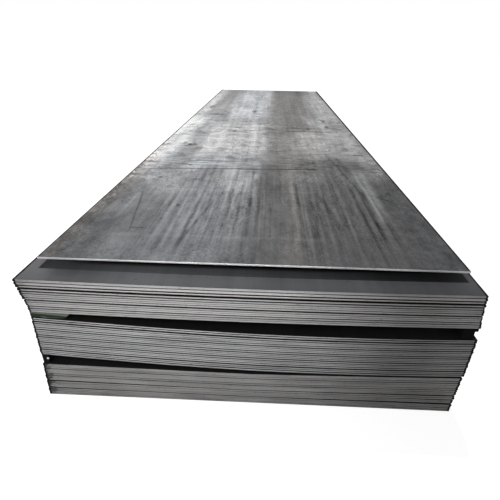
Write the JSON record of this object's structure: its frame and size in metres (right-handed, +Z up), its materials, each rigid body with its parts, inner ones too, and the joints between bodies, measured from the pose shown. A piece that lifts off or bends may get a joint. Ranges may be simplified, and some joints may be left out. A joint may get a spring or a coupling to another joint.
{
  "type": "stack of hot-rolled steel plates",
  "caption": "Warehouse stack of flat hot-rolled steel plates in packs on timber packing, with one loose plate raised on battens on top.",
  "frame": {"origin": "centre of the floor area under the stack, at floor height", "axes": "+X across the plates, to the right as seen from their front ends; +Y along the plates, from the front ends to the back ends; +Z up"},
  "size_m": [1.5958, 6.1002, 0.5618],
  "materials": {
    "pack_plate": "hot-rolled mill scale, semi-matt, with bright cut ends",
    "loose_plate": "hot-rolled mill scale with rolling streaks and scuffs, bright cut ends",
    "timber": "dark weathered sawn timber",
    "green_timber": "old grey-green paint on sawn timber"
  },
  "bodies": {
    "root": {"lower_pack_pair_01": "pack_plate", "lower_pack_pair_02": "pack_plate", "lower_pack_pair_03": "pack_plate", "lower_pack_pair_04": "pack_plate", "lower_pack_pair_05": "pack_plate", "lower_pack_pair_06": "pack_plate", "lower_pack_plate_13": "pack_plate", "lower_pack_plate_14": "pack_plate", "lower_pack_plate_15": "pack_plate", "lower_pack_plate_16": "pack_plate", "lower_pack_plate_17": "pack_plate", "lower_pack_plate_18": "pack_plate", "middle_pack_plate_01": "pack_plate", "middle_pack_plate_02": "pack_plate", "middle_pack_plate_03": "pack_plate", "middle_pack_plate_04": "pack_plate", "middle_pack_plate_05": "pack_plate", "middle_pack_plate_06": "pack_plate", "middle_pack_plate_07": "pack_plate", "middle_pack_plate_08": "pack_plate", "middle_pack_plate_09": "pack_plate", "middle_pack_plate_10": "pack_plate", "middle_pack_plate_11": "pack_plate", "middle_pack_plate_12": "pack_plate", "middle_pack_plate_13": "pack_plate", "middle_pack_plate_14": "pack_plate", "middle_pack_plate_15": "pack_plate", "middle_pack_plate_16": "pack_plate", "middle_pack_plate_17": "pack_plate", "middle_pack_plate_18": "pack_plate", "middle_pack_plate_19": "pack_plate", "middle_pack_plate_20": "pack_plate", "upper_pack_plate_01": "pack_plate", "upper_pack_plate_02": "pack_plate", "upper_pack_plate_03": "pack_plate", "upper_pack_plate_04": "pack_plate", "upper_pack_plate_05": "pack_plate", "upper_pack_plate_06": "pack_plate", "upper_pack_plate_07": "pack_plate", "upper_pack_plate_08": "pack_plate", "upper_pack_plate_09": "pack_plate", "upper_pack_plate_10": "pack_plate", "upper_pack_plate_11": "pack_plate", "upper_pack_plate_12": "pack_plate", "upper_pack_plate_13": "pack_plate", "upper_pack_plate_14": "pack_plate", "loose_top_plate": "loose_plate", "loose_plate_batten_01": "timber", "loose_plate_batten_02": "timber", "loose_plate_batten_03": "timber", "upper_bearer_01": "timber", "upper_bearer_02": "timber", "upper_bearer_03": "timber", "lower_bearer_01": "timber", "lower_bearer_02": "timber", "lower_bearer_03": "timber", "front_right_packing": "timber", "lower_left_packing": "timber", "front_left_packing": "green_timber"}
  },
  "joints": []
}
